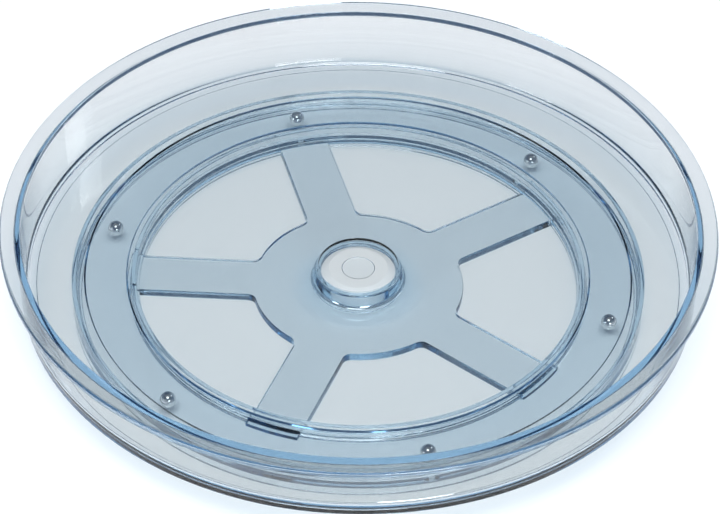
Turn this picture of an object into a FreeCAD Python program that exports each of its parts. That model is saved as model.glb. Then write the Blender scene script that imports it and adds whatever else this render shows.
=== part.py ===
import FreeCAD, Part
import math
import os
import Sketcher

# A clear revolving caddy: a shallow round tray that turns on six steel balls
# over a spoked base.  Millimetres, +Z up, origin on the table under the axis.

DIMENSIONS = (
    # tray: rim, wall and floor
    ("rim_radius", 140.0),
    ("rim_top", 40.0),
    ("lip_bottom", 37.2),
    ("wall_top_inner_radius", 131.9),
    ("wall_top_outer_radius", 133.8),
    ("wall_foot_outer_radius", 133.3),
    ("wall_foot_inner_radius", 130.8),
    ("floor_top", 13.8),
    ("floor_underside", 11.6),
    # tray: low ring it stands on when lifted off, ball track and centre spigot
    ("foot_ring_bottom", 11.2),
    ("foot_ring_inner_radius", 127.2),
    ("foot_ring_root_radius", 127.0),
    ("track_outer_root_radius", 108.5),
    ("track_outer_radius", 108.0),
    ("track_inner_radius", 91.9),
    ("track_inner_root_radius", 91.4),
    ("track_face", 9.8),
    ("dish_radius", 15.9),
    ("dish_floor", 12.8),
    ("spigot_radius", 6.45),
    ("spigot_end", 11.0),
    # base: hub plate with its spokes and the collar round the pivot
    ("plate_top", 3.5),
    ("spoke_end_radius", 91.0),
    ("collar_root_radius", 18.4),
    ("collar_root", 6.4),
    ("hub_cone_radius", 27.0),
    ("collar_radius", 17.2),
    ("collar_bore_radius", 14.88),
    ("counterbore_radius", 16.6),
    ("counterbore_top", 2.4),
    ("spoke_count", 5),
    ("spoke_half_width", 10.5),
    ("spoke_half_pitch", 36.0),
    ("hub_radius", 42.0),
    ("opening_outer_radius", 96.0),
    ("opening_corner", 3.5),
    ("first_spoke_angle", 105.4),
    ("first_opening_angle", 141.4),
    # base: channel ring with two walls and two skirts, the outer one down to the table
    ("wall_top", 11.25),
    ("base_radius", 113.5),
    ("outer_wall_inner_radius", 111.6),
    ("outer_wall_root_radius", 111.4),
    ("inner_wall_outer_root_radius", 90.1),
    ("inner_wall_outer_radius", 89.9),
    ("inner_wall_inner_radius", 88.0),
    ("inner_wall_inner_root_radius", 87.9),
    ("ring_inner_radius", 87.0),
    ("ring_inner_top", 5.5),
    ("channel_floor", 5.0),
    ("ring_underside", 2.4),
    ("skirt_root_radius", 111.0),
    ("skirt_inner_radius", 111.2),
    ("inner_skirt_root_radius", 89.2),
    ("inner_skirt_outer_radius", 89.0),
    ("inner_skirt_bottom", 1.4),
    # balls and their seats
    ("ball_count", 6),
    ("ball_radius", 3.175),
    ("ball_centre", 6.6),
    ("pitch_radius", 101.6),
    ("seat_radius", 3.225),
    # pivot plug
    ("plug_radius", 14.8),
    ("plug_top", 11.5),
    ("plug_top_radius", 11.7),
    ("plug_shoulder", 9.8),
    ("plug_recess_radius", 6.5),
    ("plug_recess_floor", 10.9),
    ("plug_flange_radius", 16.2),
    ("plug_flange_top", 2.0),
    ("plug_bottom", 0.5),
    # rounded edges
    ("floor_corner_fillet", 3.0),
    ("foot_fillet", 1.2),
    ("lip_inner_fillet", 0.4),
    ("lip_outer_fillet", 1.2),
    ("wall_edge_fillet", 0.4),
    ("channel_fillet", 3.0),
    ("collar_fillet", 2.0),
    ("plug_fillet", 0.4),
)

SIZE = dict(DIMENSIONS)

doc = FreeCAD.newDocument("revolving_caddy")
sheet = doc.addObject("Spreadsheet::Sheet", "sizes")


def fill_sheet():
    for row, (name, value) in enumerate(DIMENSIONS, start=1):
        sheet.set("A%d" % row, name)
        sheet.set("B%d" % row, str(value))
        sheet.setAlias("B%d" % row, name)
    doc.recompute()


def new_body(name):
    body = doc.addObject("PartDesign::Body", name)
    body.Label = name
    return body


def origin_plane(body, role):
    return next(item for item in body.Origin.OriginFeatures if item.Role == role)


def new_sketch(body, name, role):
    sketch = body.newObject("Sketcher::SketchObject", name)
    sketch.AttachmentSupport = [(origin_plane(body, role), "")]
    sketch.MapMode = "FlatFace"
    return sketch


def bind(sketch, constraint, alias):
    index = sketch.addConstraint(constraint)
    sketch.setExpression("Constraints[%d]" % index, "sizes.%s" % alias)


def half_section(body, name, corners):
    """Closed outline of straight edges; each corner is a radius and a height alias."""
    sketch = new_sketch(body, name, "XZ_Plane")
    points = [FreeCAD.Vector(SIZE.get(r, 0.0), SIZE.get(z, 0.0), 0) for r, z in corners]
    count = len(points)
    for i in range(count):
        sketch.addGeometry(Part.LineSegment(points[i], points[(i + 1) % count]), False)
    for i in range(count):
        sketch.addConstraint(Sketcher.Constraint("Coincident", i, 2, (i + 1) % count, 1))
    for i, (radius, height) in enumerate(corners):
        if radius == "axis":
            sketch.addConstraint(Sketcher.Constraint("PointOnObject", i, 1, -2))
        else:
            bind(sketch, Sketcher.Constraint("DistanceX", -1, 1, i, 1, SIZE[radius]), radius)
        if height == "table":
            sketch.addConstraint(Sketcher.Constraint("PointOnObject", i, 1, -1))
        else:
            bind(sketch, Sketcher.Constraint("DistanceY", -1, 1, i, 1, SIZE[height]), height)
    return sketch


def revolve(body, name, sketch):
    feature = body.newObject("PartDesign::Revolution", name)
    feature.Profile = sketch
    feature.ReferenceAxis = (sketch, ["V_Axis"])
    feature.Angle = 360.0
    sketch.Visibility = False
    doc.recompute()
    return feature


def ring_edges(feature, rings):
    """Names of the full circles about the axis at the given radius and height aliases."""
    names = []
    for index, edge in enumerate(feature.Shape.Edges, start=1):
        curve = edge.Curve
        if not isinstance(curve, Part.Circle):
            continue
        centre = curve.Center
        if math.hypot(centre.x, centre.y) > 0.01:
            continue
        for radius, height in rings:
            close = abs(curve.Radius - SIZE[radius]) < 0.01
            if close and abs(centre.z - SIZE[height]) < 0.01:
                names.append("Edge%d" % index)
    return names


def fillet(body, name, base, edges, alias):
    feature = body.newObject("PartDesign::Fillet", name)
    feature.Base = (base, edges)
    feature.Radius = SIZE[alias]
    feature.setExpression("Radius", "sizes.%s" % alias)
    doc.recompute()
    return feature


def turn_about_axis(sketch, alias):
    sketch.AttachmentOffset = FreeCAD.Placement(
        FreeCAD.Vector(0, 0, 0), FreeCAD.Rotation(FreeCAD.Vector(0, 0, 1), SIZE[alias]))
    sketch.setExpression("AttachmentOffset.Rotation.Angle", "sizes.%s" % alias)


def polar(body, name, originals, sketch, alias):
    pattern = body.newObject("PartDesign::PolarPattern", name)
    pattern.Originals = originals
    pattern.Axis = (sketch, ["N_Axis"])
    pattern.Angle = 360.0
    pattern.Occurrences = int(SIZE[alias])
    pattern.setExpression("Occurrences", "sizes.%s" % alias)
    body.Tip = pattern
    doc.recompute()
    return pattern


def build_tray():
    body = new_body("tray")
    section = half_section(body, "tray_section", [
        ("axis", "dish_floor"),
        ("dish_radius", "dish_floor"),
        ("dish_radius", "floor_top"),
        ("wall_foot_inner_radius", "floor_top"),
        ("wall_top_inner_radius", "rim_top"),
        ("rim_radius", "rim_top"),
        ("rim_radius", "lip_bottom"),
        ("wall_top_outer_radius", "lip_bottom"),
        ("wall_foot_outer_radius", "foot_ring_bottom"),
        ("foot_ring_inner_radius", "foot_ring_bottom"),
        ("foot_ring_root_radius", "floor_underside"),
        ("track_outer_root_radius", "floor_underside"),
        ("track_outer_radius", "track_face"),
        ("track_inner_radius", "track_face"),
        ("track_inner_root_radius", "floor_underside"),
        ("spigot_radius", "floor_underside"),
        ("spigot_radius", "spigot_end"),
        ("axis", "spigot_end"),
    ])
    solid = revolve(body, "tray_solid", section)
    for name, radius, height, alias in (
            ("floor_corner", "wall_foot_inner_radius", "floor_top", "floor_corner_fillet"),
            ("foot_edge", "wall_foot_outer_radius", "foot_ring_bottom", "foot_fillet"),
            ("lip_inner_edge", "wall_top_inner_radius", "rim_top", "lip_inner_fillet"),
            ("lip_outer_edge", "rim_radius", "rim_top", "lip_outer_fillet"),
            ("lip_lower_edge", "rim_radius", "lip_bottom", "wall_edge_fillet")):
        solid = fillet(body, name, solid, ring_edges(solid, [(radius, height)]), alias)
    return body


def opening_sketch(body):
    """One opening, centred on local +X: two arcs joined by the flanks of two spokes."""
    sketch = new_sketch(body, "opening", "XY_Plane")
    turn_about_axis(sketch, "first_opening_angle")
    half_pitch = math.radians(SIZE["spoke_half_pitch"])
    half_width = SIZE["spoke_half_width"]
    ends = []
    for alias in ("hub_radius", "opening_outer_radius"):
        radius = SIZE[alias]
        reach = half_pitch - math.asin(half_width / radius)
        circle = Part.Circle(FreeCAD.Vector(0, 0, 0), FreeCAD.Vector(0, 0, 1), radius)
        sketch.addGeometry(Part.ArcOfCircle(circle, -reach, reach), False)
        low = FreeCAD.Vector(radius * math.cos(reach), -radius * math.sin(reach), 0)
        high = FreeCAD.Vector(radius * math.cos(reach), radius * math.sin(reach), 0)
        ends.append((low, high))
    sketch.addGeometry(Part.LineSegment(ends[0][0], ends[1][0]), False)
    sketch.addGeometry(Part.LineSegment(ends[0][1], ends[1][1]), False)
    for arc, alias in ((0, "hub_radius"), (1, "opening_outer_radius")):
        sketch.addConstraint(Sketcher.Constraint("Coincident", arc, 3, -1, 1))
        bind(sketch, Sketcher.Constraint("Radius", arc, SIZE[alias]), alias)
    for line, end in ((2, 1), (3, 2)):
        sketch.addConstraint(Sketcher.Constraint("Coincident", line, 1, 0, end))
        sketch.addConstraint(Sketcher.Constraint("Coincident", line, 2, 1, end))
        bind(sketch, Sketcher.Constraint("Distance", -1, 1, line, half_width), "spoke_half_width")
    bind(sketch, Sketcher.Constraint("Angle", -1, 1, 3, 1, half_pitch), "spoke_half_pitch")
    bind(sketch, Sketcher.Constraint("Angle", 2, 1, -1, 1, half_pitch), "spoke_half_pitch")
    sketch.Visibility = False
    return sketch


def cut_openings(body):
    sketch = opening_sketch(body)
    pocket = body.newObject("PartDesign::Pocket", "opening_cut")
    pocket.Profile = sketch
    pocket.Length = SIZE["plate_top"]
    pocket.setExpression("Length", "sizes.plate_top")
    pocket.Reversed = True
    doc.recompute()
    corners = []
    for index, edge in enumerate(pocket.Shape.Edges, start=1):
        upright = isinstance(edge.Curve, Part.Line) and abs(edge.Curve.Direction.z) > 0.99
        foot = edge.Vertexes[0].Point
        if upright and abs(math.hypot(foot.x, foot.y) - SIZE["hub_radius"]) < 0.01:
            corners.append("Edge%d" % index)
    return sketch, pocket, corners


def add_ball_seats(body, sketch):
    """A hollow for each ball in the channel floor, spaced round the sketch's axis."""
    seat = body.newObject("PartDesign::SubtractiveSphere", "seat")
    seat.Radius = SIZE["seat_radius"]
    seat.setExpression("Radius", "sizes.seat_radius")
    place_on_pitch_circle(seat, 0)
    doc.recompute()
    polar(body, "seats", [seat], sketch, "ball_count")


def place_on_pitch_circle(item, index):
    angle = "sizes.first_spoke_angle + %d * 360 / sizes.ball_count" % index
    item.setExpression("Placement.Base.x", "sizes.pitch_radius * cos((%s) * 1deg)" % angle)
    item.setExpression("Placement.Base.y", "sizes.pitch_radius * sin((%s) * 1deg)" % angle)
    item.setExpression("Placement.Base.z", "sizes.ball_centre")


def build_base():
    body = new_body("base")
    section = half_section(body, "hub_section", [
        ("counterbore_radius", "table"),
        ("spoke_end_radius", "table"),
        ("spoke_end_radius", "plate_top"),
        ("hub_cone_radius", "plate_top"),
        ("collar_root_radius", "collar_root"),
        ("collar_radius", "wall_top"),
        ("collar_bore_radius", "wall_top"),
        ("collar_bore_radius", "counterbore_top"),
        ("counterbore_radius", "counterbore_top"),
    ])
    solid = revolve(body, "hub_solid", section)
    collar_top = ring_edges(solid, [("collar_radius", "wall_top")])
    solid = fillet(body, "collar_edge", solid, collar_top, "wall_edge_fillet")
    collar_root = ring_edges(solid, [("collar_root_radius", "collar_root")])
    fillet(body, "collar_root", solid, collar_root, "collar_fillet")
    sketch, pocket, corners = cut_openings(body)
    rounded = fillet(body, "opening_corners", pocket, corners, "opening_corner")
    polar(body, "openings", [pocket, rounded], sketch, "spoke_count")
    add_ring(body)
    add_ball_seats(body, sketch)
    return body


def add_ring(body):
    section = half_section(body, "ring_section", [
        ("skirt_inner_radius", "table"),
        ("base_radius", "table"),
        ("base_radius", "wall_top"),
        ("outer_wall_inner_radius", "wall_top"),
        ("outer_wall_root_radius", "channel_floor"),
        ("inner_wall_outer_root_radius", "channel_floor"),
        ("inner_wall_outer_radius", "wall_top"),
        ("inner_wall_inner_radius", "wall_top"),
        ("inner_wall_inner_root_radius", "ring_inner_top"),
        ("ring_inner_radius", "ring_inner_top"),
        ("ring_inner_radius", "inner_skirt_bottom"),
        ("inner_skirt_outer_radius", "inner_skirt_bottom"),
        ("inner_skirt_root_radius", "ring_underside"),
        ("skirt_root_radius", "ring_underside"),
    ])
    solid = revolve(body, "ring_solid", section)
    tops = ring_edges(solid, [
        ("base_radius", "wall_top"),
        ("outer_wall_inner_radius", "wall_top"),
        ("inner_wall_outer_radius", "wall_top"),
        ("inner_wall_inner_radius", "wall_top"),
        ("ring_inner_radius", "ring_inner_top"),
    ])
    solid = fillet(body, "wall_edges", solid, tops, "wall_edge_fillet")
    roots = ring_edges(solid, [
        ("outer_wall_root_radius", "channel_floor"),
        ("inner_wall_outer_root_radius", "channel_floor"),
    ])
    fillet(body, "channel_corners", solid, roots, "channel_fillet")


def build_plug():
    body = new_body("pivot_plug")
    section = half_section(body, "plug_section", [
        ("axis", "plug_bottom"),
        ("plug_flange_radius", "plug_bottom"),
        ("plug_flange_radius", "plug_flange_top"),
        ("plug_radius", "plug_flange_top"),
        ("plug_radius", "plug_shoulder"),
        ("plug_top_radius", "plug_top"),
        ("plug_recess_radius", "plug_top"),
        ("plug_recess_radius", "plug_recess_floor"),
        ("axis", "plug_recess_floor"),
    ])
    solid = revolve(body, "plug_solid", section)
    edges = ring_edges(solid, [
        ("plug_flange_radius", "plug_bottom"),
        ("plug_top_radius", "plug_top"),
    ])
    fillet(body, "plug_edges", solid, edges, "plug_fillet")
    return body


def build_ball(index):
    name = "ball_%d" % (index + 1)
    ball = doc.addObject("Part::Sphere", name)
    ball.Label = name
    ball.Radius = SIZE["ball_radius"]
    ball.setExpression("Radius", "sizes.ball_radius")
    place_on_pitch_circle(ball, index)
    return ball


def check_and_write(pieces):
    doc.recompute()
    for item in doc.Objects:
        if "Invalid" in item.State or "Error" in item.State:
            raise RuntimeError("%s did not build: %s" % (item.Name, item.State))
    os.makedirs("parts", exist_ok=True)
    for piece in pieces:
        shape = piece.Shape
        if shape.isNull() or not shape.isValid() or len(shape.Solids) != 1:
            raise RuntimeError("%s is not one valid solid" % piece.Label)
        shape.exportStep("parts/%s.step" % piece.Label)
        box = shape.BoundBox
        print("%-12s %10.1f mm3  z %.2f to %.2f" % (piece.Label, shape.Volume, box.ZMin, box.ZMax))


fill_sheet()
parts = [build_tray(), build_base(), build_plug()]
parts += [build_ball(index) for index in range(int(SIZE["ball_count"]))]
check_and_write(parts)
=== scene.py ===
import math

import bpy
from mathutils import Matrix, Vector, geometry


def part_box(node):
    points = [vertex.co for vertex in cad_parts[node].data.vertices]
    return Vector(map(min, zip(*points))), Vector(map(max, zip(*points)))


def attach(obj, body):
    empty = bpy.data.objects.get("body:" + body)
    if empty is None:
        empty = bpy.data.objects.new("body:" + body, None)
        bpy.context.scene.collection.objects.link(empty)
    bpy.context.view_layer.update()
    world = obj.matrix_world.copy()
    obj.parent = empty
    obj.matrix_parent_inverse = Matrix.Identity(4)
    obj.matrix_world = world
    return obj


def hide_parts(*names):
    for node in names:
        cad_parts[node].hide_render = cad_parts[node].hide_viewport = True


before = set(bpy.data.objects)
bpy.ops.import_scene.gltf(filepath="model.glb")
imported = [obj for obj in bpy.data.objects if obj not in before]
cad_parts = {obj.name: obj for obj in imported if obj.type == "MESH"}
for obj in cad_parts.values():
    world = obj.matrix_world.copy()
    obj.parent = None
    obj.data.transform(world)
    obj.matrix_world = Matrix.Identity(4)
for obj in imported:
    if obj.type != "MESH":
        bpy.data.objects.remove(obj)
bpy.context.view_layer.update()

MM = 0.001
RING_STEPS = 384            # faces round the large turned pieces
SPOKES = 5
HALF_PITCH = math.radians(36.0)
SPOKE_HALF = 10.5 * MM      # half the width of a spoke
FIRST_SPOKE = math.radians(105.4)
HUB_R = 42.0 * MM
STAR_R = 91.0 * MM          # reach of the spokes
PLATE_TOP = 3.5 * MM        # upper face of the hub and the spokes
OPENING_CORNER = 3.5 * MM   # rounding between a spoke and the hub
EDGE = 0.75 * MM            # rounding along the edges of the star
BALL_R = 3.175              # these three in millimetres, like the turned sections
BALL_HEIGHT = 6.6
SEAT_R = 3.225
FLOOR_GAP = 0.4 * MM        # keeps the studio floor off the base's underside
PLASTIC_IOR = 1.56


class Surface:
    """Collects welded vertices with exact normals; faces turn themselves to match the normals."""

    def __init__(self):
        self.points = []
        self.normals = []
        self.faces = []
        self.known = {}

    def vert(self, point, normal):
        key = tuple(round(c * 1e7) for c in point)
        if key not in self.known:
            self.known[key] = len(self.points)
            self.points.append(Vector(point))
            self.normals.append(Vector(normal).normalized())
        return self.known[key]

    def face(self, corners):
        ids = [c for i, c in enumerate(corners) if c != corners[i - 1]]
        if len(ids) < 3:
            return
        flat = geometry.normal([self.points[i] for i in ids])
        want = sum((self.normals[i] for i in ids), Vector())
        self.faces.append(ids if flat.dot(want) > 0 else ids[::-1])

    def strip(self, first, second):
        count = max(len(first), len(second))
        for i in range(count):
            j = (i + 1) % count
            a, b = first[i % len(first)], first[j % len(first)]
            c, d = second[j % len(second)], second[i % len(second)]
            self.face([a, b, c, d])

    def sheet(self, loops):
        """Fills a flat region bounded by closed loops of vertices; inner loops are holes."""
        ids = [i for loop in loops for i in loop]
        edges = []
        start = 0
        for loop in loops:
            edges += [(start + i, start + (i + 1) % len(loop)) for i in range(len(loop))]
            start += len(loop)
        flat = [self.points[i].xy for i in ids]
        made = geometry.delaunay_2d_cdt(flat, edges, [], 1, 1e-7)
        outlines = [[self.points[i].xy for i in loop] for loop in loops]
        for tri in made[2]:
            middle = sum((made[0][i] for i in tri), Vector((0, 0))) / 3
            if sum(inside(middle, outline) for outline in outlines) % 2:
                self.face([ids[made[3][i][0]] for i in tri])

    def turn(self, section, steps=RING_STEPS, centre=(0.0, 0.0)):
        """Revolves (radius, height, normal radius, normal height) rows; returns the rings."""
        rings = []
        for radius, height, nr, nz in section:
            ring = []
            for k in range(steps if radius > 1e-7 else 1):
                a = 2 * math.pi * k / steps
                c, s = math.cos(a), math.sin(a)
                point = (centre[0] + radius * c, centre[1] + radius * s, height)
                ring.append(self.vert(point, (nr * c, nr * s, nz)))
            rings.append(ring)
        for first, second in zip(rings, rings[1:]):
            self.strip(first, second)
        return rings

    def build(self, name):
        mesh = bpy.data.meshes.new(name)
        mesh.from_pydata(self.points, [], self.faces)
        mesh.shade_smooth()
        mesh.normals_split_custom_set_from_vertices(self.normals)
        piece = bpy.data.objects.new(name, mesh)
        bpy.context.scene.collection.objects.link(piece)
        return piece


def inside(point, outline):
    hits = 0
    for a, b in zip(outline, outline[1:] + outline[:1]):
        if (a.y > point.y) != (b.y > point.y):
            hits += point.x < a.x + (point.y - a.y) * (b.x - a.x) / (b.y - a.y)
    return hits % 2


def rounded_section(corners, arc_steps=6):
    """Half section in millimetres; each corner is (radius, height, fillet)."""
    pts = [Vector(c[:2]) for c in corners]
    rows = []
    for i, p in enumerate(pts):
        before = (p - pts[i - 1]).normalized() if i else None
        after = (pts[i + 1] - p).normalized() if i + 1 < len(pts) else None
        if before is None or after is None or not corners[i][2]:
            d = after or before
            rows.append((p, Vector((-d.y, d.x))))
            continue
        turn = before.angle_signed(after)
        back = corners[i][2] * math.tan(abs(turn) / 2)
        start = p - before * back
        side = 1 if turn < 0 else -1
        n0 = Vector((-before.y, before.x))
        middle = start + n0 * corners[i][2] * side
        for k in range(arc_steps + 1):
            n = n0.copy()
            n.rotate(Matrix.Rotation(-turn * k / arc_steps, 2))
            rows.append((middle - n * corners[i][2] * side, n))
    return [(p.x * MM, p.y * MM, n.x, n.y) for p, n in rows]


def tray_surface():
    s = Surface()
    s.turn(rounded_section([
        (0, 12.8, 0),
        (15.9, 12.8, 0.3),
        (15.9, 13.8, 0.25),
        (130.8, 13.8, 3.0),
        (131.9, 40.0, 0.4),
        (140.0, 40.0, 1.2),
        (140.0, 37.2, 0.6),
        (133.8, 37.2, 0.8),
        (133.3, 11.2, 1.2),
        (127.2, 11.2, 0.15),
        (127.0, 11.6, 0.15),
        (108.5, 11.6, 0.2),
        (108.0, 9.8, 0.3),
        (91.9, 9.8, 0.3),
        (91.4, 11.6, 0.2),
        (6.45, 11.6, 0.2),
        (6.45, 11.0, 0.2),
        (0, 11.0, 0),
    ]))
    return s.build("tray_look")


def star_outline():
    """Points round the hub and its five spokes, each with its outward normal."""
    q = OPENING_CORNER
    half = []
    end = math.asin(SPOKE_HALF / STAR_R)
    for k in range(9):
        a = end * k / 8
        half.append((Vector((math.cos(a), math.sin(a))) * STAR_R, a))
    off = SPOKE_HALF + q
    centre = Vector((math.sqrt((HUB_R + q) ** 2 - off ** 2), off))
    reach = math.atan2(centre.y, centre.x)
    for k in range(1, 40):
        x = STAR_R * math.cos(end) + (centre.x - STAR_R * math.cos(end)) * k / 40
        half.append((Vector((x, SPOKE_HALF)), math.pi / 2))
    for k in range(11):
        a = -math.pi / 2 + (reach - math.pi / 2) * k / 10
        half.append((centre + Vector((math.cos(a), math.sin(a))) * q, a + math.pi))
    for k in range(1, 13):
        a = reach + (HALF_PITCH - reach) * k / 12
        half.append((Vector((math.cos(a), math.sin(a))) * HUB_R, a))
    sector = [(Vector((p.x, -p.y)), -a) for p, a in half[-2:0:-1]] + half
    whole = []
    for i in range(SPOKES):
        turn = FIRST_SPOKE + i * 2 * HALF_PITCH
        spin = Matrix.Rotation(turn, 2)
        whole += [(spin @ p, Vector((math.cos(a + turn), math.sin(a + turn)))) for p, a in sector]
    return whole


def hub_and_spokes():
    """Collar and hub turned about the axis, joined to the rounded outline of the spokes."""
    s = Surface()
    core = s.turn(rounded_section([
        (18.0, 0.0, 0),
        (16.6, 0.0, 0.3),
        (16.6, 2.4, 0.2),
        (14.88, 2.4, 0.2),
        (14.88, 11.25, 0.4),
        (17.2, 11.25, 1.0),
        (18.4, 6.4, 2.0),
        (27.0, 3.5, 6.0),
        (31.0, 3.5, 0),
    ]))
    outline = star_outline()
    loops = []
    for k in range(10):
        top = k < 5
        t = math.pi / 2 * (k if top else 9 - k) / 4
        back = EDGE * (1 - math.sin(t))
        drop = EDGE * (1 - math.cos(t))
        height = PLATE_TOP - drop if top else drop
        up = math.cos(t) if top else -math.cos(t)
        loop = [s.vert((*(p - n * back), height), (*(n * math.sin(t)), up)) for p, n in outline]
        loops.append(loop)
    for first, second in zip(loops, loops[1:]):
        s.strip(first, second)
    s.sheet([loops[0], core[-1]])
    s.sheet([loops[-1], core[0]])
    return s


def join(first, second, name):
    """Unites two closed surfaces into one solid and keeps the exact normals of both."""
    made = [part.build("%s_%d" % (name, i)) for i, part in enumerate((first, second))]
    for piece in made:
        piece.data.materials.append(bpy.data.materials.new(piece.name))
    cut = made[0].modifiers.new("unite", "BOOLEAN")
    cut.operation = "UNION"
    cut.solver = "EXACT"
    cut.material_mode = "TRANSFER"
    cut.object = made[1]
    bpy.context.view_layer.update()
    done = made[0].evaluated_get(bpy.context.evaluated_depsgraph_get())
    mesh = bpy.data.meshes.new_from_object(done)
    slots = [m.name for m in mesh.materials]
    sides = {slots.index(made[i].name): part for i, part in enumerate((first, second))}
    wanted = []
    for face in mesh.polygons:
        part = sides[face.material_index]
        for v in face.vertices:
            found = part.known.get(tuple(round(c * 1e7) for c in mesh.vertices[v].co))
            wanted.append(face.normal.copy() if found is None else part.normals[found])
    mesh.materials.clear()
    mesh.shade_smooth()
    mesh.normals_split_custom_set(wanted)
    for piece in made:
        bpy.data.materials.remove(bpy.data.materials[piece.name])
        bpy.data.objects.remove(piece)
    piece = bpy.data.objects.new(name, mesh)
    bpy.context.scene.collection.objects.link(piece)
    return piece


def base_ring(ball_centres):
    """Channel ring with its walls and skirts, and a hollow in its floor for each ball."""
    s = Surface()
    ring = s.turn(rounded_section([
        (108.0, 5.0, 0),
        (111.4, 5.0, 3.0),
        (111.6, 11.25, 0.4),
        (113.5, 11.25, 0.4),
        (113.5, 0.0, 0.5),
        (111.2, 0.0, 0.5),
        (111.0, 2.4, 0.8),
        (89.2, 2.4, 0.5),
        (89.0, 1.4, 0.4),
        (87.0, 1.4, 0.6),
        (87.0, 5.5, 0.4),
        (87.9, 5.5, 0.2),
        (88.0, 11.25, 0.4),
        (89.9, 11.25, 0.4),
        (90.1, 5.0, 3.2),
        (94.0, 5.0, 0),
    ], 10))
    hollows = []
    low = 4.8
    seat = [(SEAT_R * math.sin(t), BALL_HEIGHT - SEAT_R * math.cos(t)) for t in
            (math.acos((BALL_HEIGHT - low) / SEAT_R) * k / 8 for k in range(9))]
    for centre in ball_centres:
        section = [(r * MM, z * MM, -r / SEAT_R, (BALL_HEIGHT - z) / SEAT_R) for r, z in seat]
        section += rounded_section([
            (seat[-1][0], low, 0),
            (2.82, 5.0, 0.15),
            (4.0, 5.0, 0),
        ])[1:]
        hollows.append(s.turn(section, 64, centre.xy)[-1])
    s.sheet([ring[0], ring[-1]] + hollows)
    return s


def plug_surface():
    s = Surface()
    s.turn(rounded_section([
        (0, 10.9, 0),
        (6.5, 10.9, 0.2),
        (6.5, 11.5, 0.2),
        (11.7, 11.5, 0.4),
        (14.8, 9.8, 0.5),
        (14.8, 2.0, 0.2),
        (16.2, 2.0, 0.3),
        (16.2, 0.5, 0.5),
        (0, 0.5, 0),
    ]), 160)
    return s.build("pivot_plug_look")


def ball_surface(name, centre):
    s = Surface()
    steps = 24
    arc = [(math.sin(math.pi * k / steps), math.cos(math.pi * k / steps)) for k in range(steps + 1)]
    rows = [(BALL_R * MM * out, centre.z + BALL_R * MM * up, out, up) for out, up in arc]
    s.turn(rows, 48, centre.xy)
    return s.build(name + "_look")


def material(name):
    m = bpy.data.materials.new(name)
    m.use_nodes = True
    tree = m.node_tree
    return m, tree, tree.nodes["Principled BSDF"], tree.nodes["Material Output"]


def noise(tree, scale, detail=3.0):
    where = tree.nodes.new("ShaderNodeTexCoord")
    n = tree.nodes.new("ShaderNodeTexNoise")
    n.inputs["Scale"].default_value = scale
    n.inputs["Detail"].default_value = detail
    tree.links.new(where.outputs["Object"], n.inputs["Vector"])
    return n.outputs["Fac"]


def spread(tree, source, low, high):
    """Turns a 0 to 1 pattern into a range of values."""
    m = tree.nodes.new("ShaderNodeMapRange")
    m.inputs["From Min"].default_value = 0.3
    m.inputs["From Max"].default_value = 0.7
    m.inputs["To Min"].default_value = low
    m.inputs["To Max"].default_value = high
    tree.links.new(source, m.inputs["Value"])
    return m.outputs["Result"]


def bump(tree, shader, source, strength, distance):
    b = tree.nodes.new("ShaderNodeBump")
    b.inputs["Strength"].default_value = strength
    b.inputs["Distance"].default_value = distance
    tree.links.new(source, b.inputs["Height"])
    tree.links.new(b.outputs["Normal"], shader.inputs["Normal"])


def surface_detail(tree, shader, handling, waves, polish, depth):
    """Faint handling marks, as a range of roughness, and a slow waviness as from a mould."""
    tree.links.new(spread(tree, noise(tree, handling), *polish), shader.inputs["Roughness"])
    bump(tree, shader, noise(tree, waves, 1.0), 0.5, depth)


def clear_plastic(name, tint, shade, soak, density):
    m, tree, shader, out = material(name)
    shader.inputs["Base Color"].default_value = (*tint, 1)
    shader.inputs["Transmission Weight"].default_value = 1.0
    shader.inputs["IOR"].default_value = PLASTIC_IOR
    surface_detail(tree, shader, 160.0, 16.0, (0.0, 0.018), 0.0001)
    body = tree.nodes.new("ShaderNodeVolumeAbsorption")
    body.inputs["Color"].default_value = (*soak, 1)
    body.inputs["Density"].default_value = density
    tree.links.new(body.outputs["Volume"], out.inputs["Volume"])
    let_lamps_through(tree, shader, out, shade)
    return m


def let_lamps_through(tree, shader, out, shade):
    """Light falls on what lies under the clear plastic instead of being stopped by it."""
    path = tree.nodes.new("ShaderNodeLightPath")
    either = tree.nodes.new("ShaderNodeMath")
    either.operation = "MAXIMUM"
    tree.links.new(path.outputs["Is Shadow Ray"], either.inputs[0])
    tree.links.new(path.outputs["Is Diffuse Ray"], either.inputs[1])
    through = tree.nodes.new("ShaderNodeBsdfTransparent")
    through.inputs["Color"].default_value = (*shade, 1)
    mix = tree.nodes.new("ShaderNodeMixShader")
    tree.links.new(either.outputs["Value"], mix.inputs["Fac"])
    tree.links.new(shader.outputs["BSDF"], mix.inputs[1])
    tree.links.new(through.outputs["BSDF"], mix.inputs[2])
    tree.links.new(mix.outputs["Shader"], out.inputs["Surface"])


def white_plastic():
    m, tree, shader, _ = material("plug_white")
    shader.inputs["Base Color"].default_value = (0.96, 0.96, 0.965, 1)
    surface_detail(tree, shader, 900.0, 260.0, (0.28, 0.42), 0.0001)
    shader.inputs["Subsurface Weight"].default_value = 0.25
    shader.inputs["Subsurface Radius"].default_value = (0.010, 0.010, 0.010)
    shader.inputs["Subsurface Scale"].default_value = 1.0
    return m


def steel():
    m, tree, shader, _ = material("ball_steel")
    shader.inputs["Base Color"].default_value = (0.78, 0.775, 0.77, 1)
    shader.inputs["Metallic"].default_value = 1.0
    surface_detail(tree, shader, 1800.0, 500.0, (0.03, 0.09), 0.00001)
    return m


def show(piece, node, body, look):
    piece.data.materials.append(look)
    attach(piece, body)
    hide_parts(node)


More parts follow.
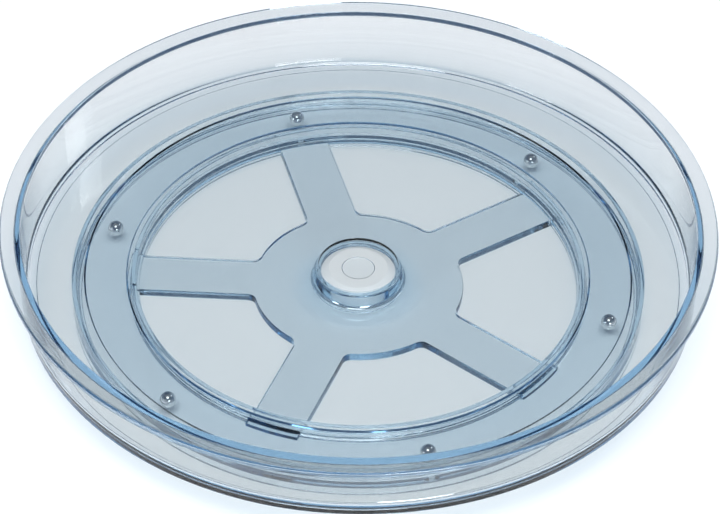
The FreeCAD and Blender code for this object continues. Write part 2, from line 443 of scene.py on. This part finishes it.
def softbox(name, azimuth, elevation, away, width, height, power):
    """Area lamp that faces the centre; angles in degrees, lengths in metres."""
    data = bpy.data.lights.new(name, "AREA")
    data.shape = "RECTANGLE"
    data.size, data.size_y = width, height
    data.energy = power
    lamp = bpy.data.objects.new(name, data)
    bpy.context.scene.collection.objects.link(lamp)
    a, e = math.radians(azimuth), math.radians(elevation)
    toward = Vector((math.cos(a) * math.cos(e), math.sin(a) * math.cos(e), math.sin(e)))
    lamp.location = toward * away
    lamp.rotation_euler = toward.to_track_quat("Z", "Y").to_euler()
    return lamp


def studio():
    """Soft boxes over a pale floor, with dim surroundings that show as lines in the plastic."""
    scene = bpy.context.scene
    scene.view_settings.view_transform = "Standard"
    scene.cycles.max_bounces = 32
    scene.cycles.transmission_bounces = 32
    scene.cycles.glossy_bounces = 16
    scene.cycles.transparent_max_bounces = 16
    world = bpy.data.worlds.new("studio")
    scene.world = world
    world.use_nodes = True
    tree = world.node_tree
    back = tree.nodes["Background"]
    where = tree.nodes.new("ShaderNodeTexCoord")
    split = tree.nodes.new("ShaderNodeSeparateXYZ")
    ramp = tree.nodes.new("ShaderNodeValToRGB")
    tree.links.new(where.outputs["Generated"], split.inputs["Vector"])
    tree.links.new(split.outputs["Z"], ramp.inputs["Fac"])
    tree.links.new(ramp.outputs["Color"], back.inputs["Color"])
    stops = ramp.color_ramp.elements
    stops[0].position = 0.1
    stops[0].color = (0.13, 0.18, 0.28, 1)
    stops[1].position = 1.0
    stops[1].color = (0.42, 0.43, 0.45, 1)
    middle = stops.new(0.78)
    middle.color = (0.09, 0.12, 0.18, 1)
    overhead = softbox("overhead", 262, 78, 1.3, 1.15, 0.9, 15.2)
    overhead.visible_glossy = False
    overhead.visible_transmission = False
    softbox("gleam", 262, 66, 1.3, 0.62, 0.52, 4.0)
    softbox("side_right", 30, 42, 1.5, 0.25, 0.25, 1.3)
    softbox("low_left", 212, 14, 1.6, 0.45, 0.35, 4.0)
    softbox("low_front", 288, 16, 1.6, 0.6, 0.35, 8.0)
    mesh = bpy.data.meshes.new("floor")
    corners = ((-6, -6), (6, -6), (6, 6), (-6, 6))
    mesh.from_pydata([(x, y, -FLOOR_GAP) for x, y in corners], [], [(0, 1, 2, 3)])
    floor = bpy.data.objects.new("floor", mesh)
    scene.collection.objects.link(floor)
    m, tree, shader, _ = material("pale_floor")
    shader.inputs["Base Color"].default_value = (0.95, 0.95, 0.95, 1)
    shader.inputs["Roughness"].default_value = 0.6
    shader.inputs["Specular IOR Level"].default_value = 0.1
    mesh.materials.append(m)


def camera():
    data = bpy.data.cameras.new("camera")
    data.lens = 139.375
    data.sensor_width = 36.0
    data.shift_x = 0.0024
    data.shift_y = 0.0153
    cam = bpy.data.objects.new("camera", data)
    bpy.context.scene.collection.objects.link(cam)
    elevation, roll = math.radians(41.894), math.radians(0.870)
    back = Vector((0, -math.cos(elevation), math.sin(elevation)))
    right = Vector((1, 0, 0))
    up = right.cross(-back)
    right2 = right * math.cos(roll) + up * math.sin(roll)
    up2 = up * math.cos(roll) - right * math.sin(roll)
    place = Matrix((right2, up2, back)).transposed().to_4x4()
    place.translation = back * 1.107 + Vector((0, 0, 0.012))
    cam.matrix_world = place
    bpy.context.scene.camera = cam


balls = sorted(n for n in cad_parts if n.startswith("ball_"))
centres = {n: (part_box(n)[0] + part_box(n)[1]) / 2 for n in balls}
seats = [centres[n] for n in balls]
clear = clear_plastic("clear_tray", (0.86, 0.85, 0.83), (0.885, 0.893, 0.885), (0.50, 0.74, 0.90), 65.0)
clear_base = clear_plastic("clear_base", (1.0, 1.0, 1.0), (0.985, 0.985, 0.985), (0.55, 0.76, 0.89), 60.0)
chrome = steel()
show(tray_surface(), "tray", "tray", clear)
base = join(base_ring(seats), hub_and_spokes(), "base_look")
show(base, "base", "base", clear_base)
show(plug_surface(), "pivot_plug", "tray", white_plastic())
for n in balls:
    show(ball_surface(n, centres[n]), n, n, chrome)
studio()
camera()
